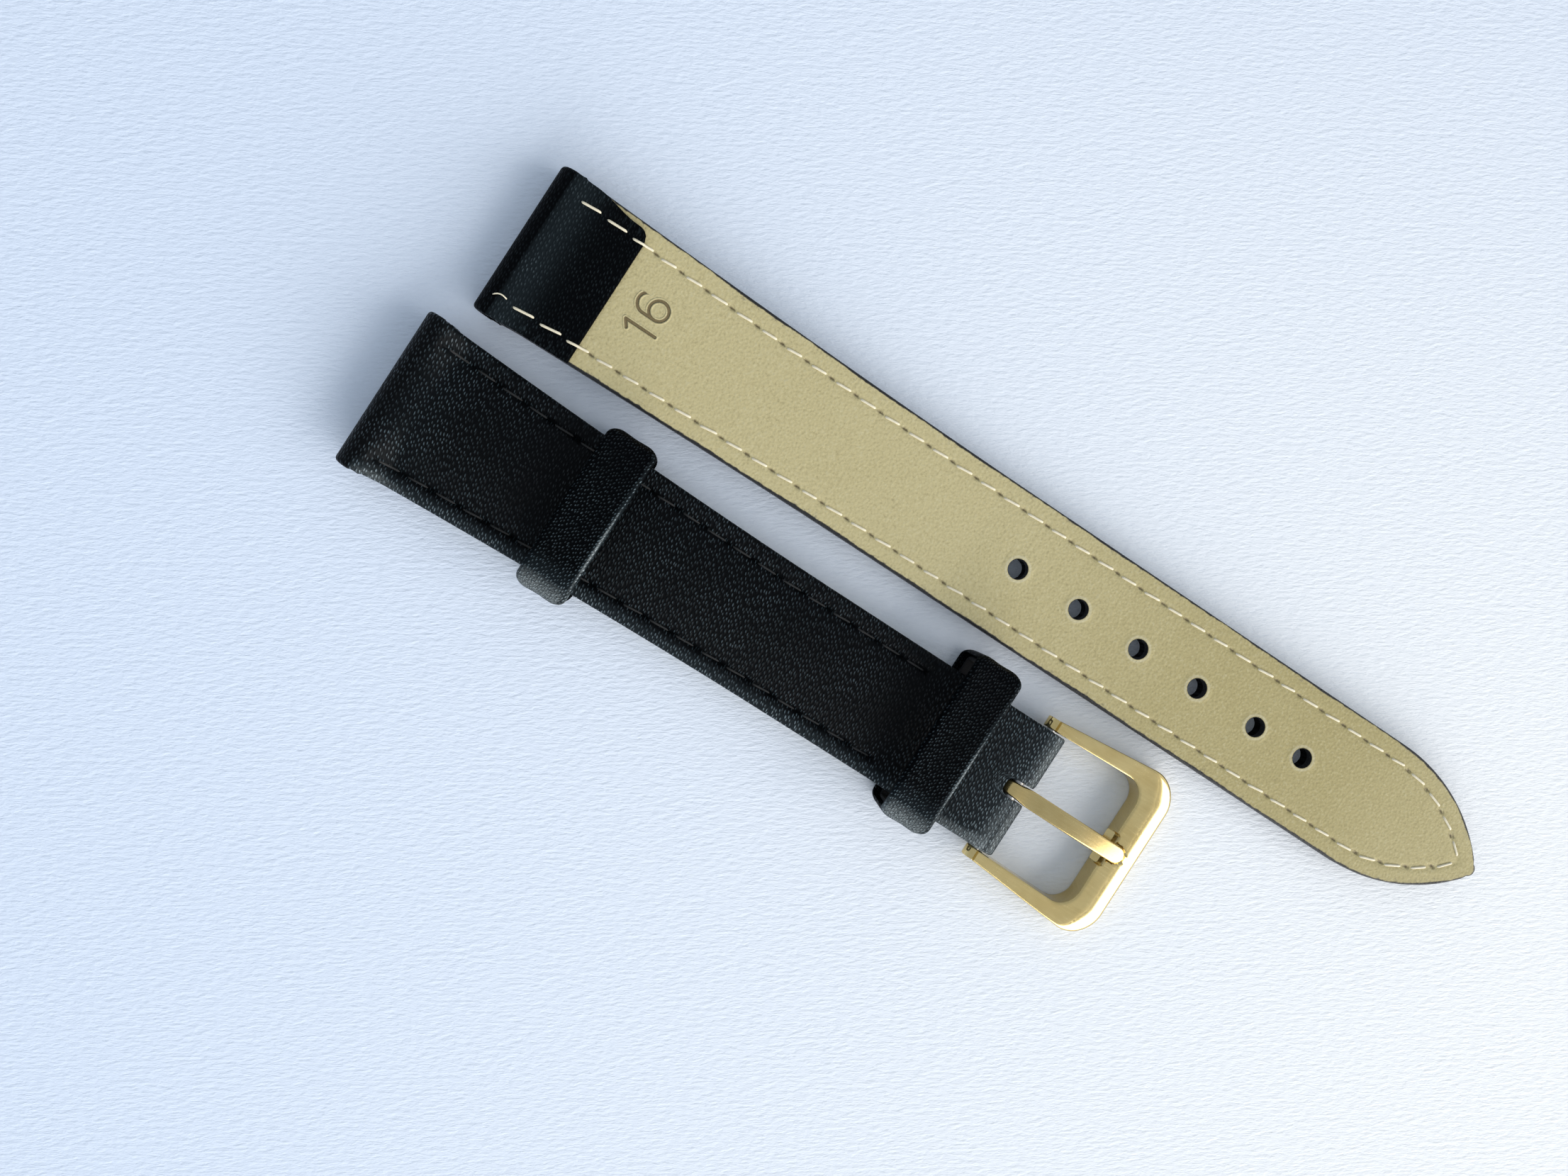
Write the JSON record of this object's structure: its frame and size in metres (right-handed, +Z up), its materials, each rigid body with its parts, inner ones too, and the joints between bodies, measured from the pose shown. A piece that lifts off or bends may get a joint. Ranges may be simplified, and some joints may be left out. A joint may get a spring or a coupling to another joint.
{
  "type": "leather watch strap",
  "caption": "Padded leather watch strap in separate halves, laid flat: the short half with tang buckle, fixed and sliding keepers, the long half pointed, with adjusting holes.",
  "frame": {"origin": "centre of the part's footprint, on the surface that both halves lie on", "axes": "+X along the halves from their lug ends towards the buckle and the pointed tip, +Y from the short half to the long half, +Z up, away from the surface"},
  "size_m": [0.1182, 0.0356, 0.0069],
  "materials": {
    "black_leather": "satin, fine wrinkled grain",
    "lining_leather": "matte, smooth",
    "pad": "matte felt",
    "keeper_core": "matte",
    "black_thread": "matte",
    "cream_thread": "matte",
    "gold_polished": "polished, gold-coloured plating",
    "gold_satin": "satin, gold-coloured plating",
    "bar_steel": "brushed"
  },
  "bodies": {
    "short_strap": {"short_top_leather": "black_leather", "short_filler": "pad", "short_lining": "lining_leather", "short_upper_seam_top_thread": "black_thread", "short_lower_seam_top_thread": "black_thread", "short_upper_seam_lining_thread": "cream_thread", "short_lower_seam_lining_thread": "cream_thread", "fixed_keeper_cover": "black_leather", "fixed_keeper_core": "keeper_core", "bar_barrel": "bar_steel", "bar_spring": "bar_steel"},
    "sliding_keeper": {"free_keeper_cover": "black_leather", "free_keeper_core": "keeper_core"},
    "buckle": {"buckle_frame": "gold_polished"},
    "tongue": {"buckle_tongue": "gold_satin"},
    "upper_pin": {"bar_tip_upper": "bar_steel"},
    "lower_pin": {"bar_tip_lower": "bar_steel"},
    "long_strap": {"long_top_leather": "black_leather", "long_filler": "pad", "long_lining": "lining_leather", "long_seam_top_thread": "black_thread", "long_seam_lining_thread": "cream_thread"}
  },
  "joints": [
    {"name": "keeper_slide", "type": "slide", "parent": "short_strap", "child": "sliding_keeper", "axis": [1, 0, 0], "range_m": [-0.001, 0.0345]},
    {"name": "buckle_swing", "type": "hinge", "parent": "short_strap", "child": "buckle", "pos_m": [0.01281, -0.00847, 0.0019], "axis": [0, -1, 0], "range_deg": [-75, 15]},
    {"name": "tongue_swing", "type": "hinge", "parent": "buckle", "child": "tongue", "pos_m": [0.01281, -0.00847, 0.0019], "axis": [0, -1, 0], "range_deg": [0, 65]},
    {"name": "upper_pin_press", "type": "slide", "parent": "short_strap", "child": "upper_pin", "axis": [0, -1, 0], "range_m": [0, 0.0009], "stiffness_N_per_m": 300, "springref_m": -0.0015, "deforming": ["bar_spring"]},
    {"name": "lower_pin_press", "type": "slide", "parent": "short_strap", "child": "lower_pin", "axis": [0, 1, 0], "range_m": [0, 0.0009], "stiffness_N_per_m": 300, "springref_m": -0.0015, "deforming": ["bar_spring"]},
    {"name": "long_half_lift", "type": "slide", "parent": "short_strap", "child": "long_strap", "axis": [0, 0, 1], "range_m": [0, 0.03]}
  ]
}
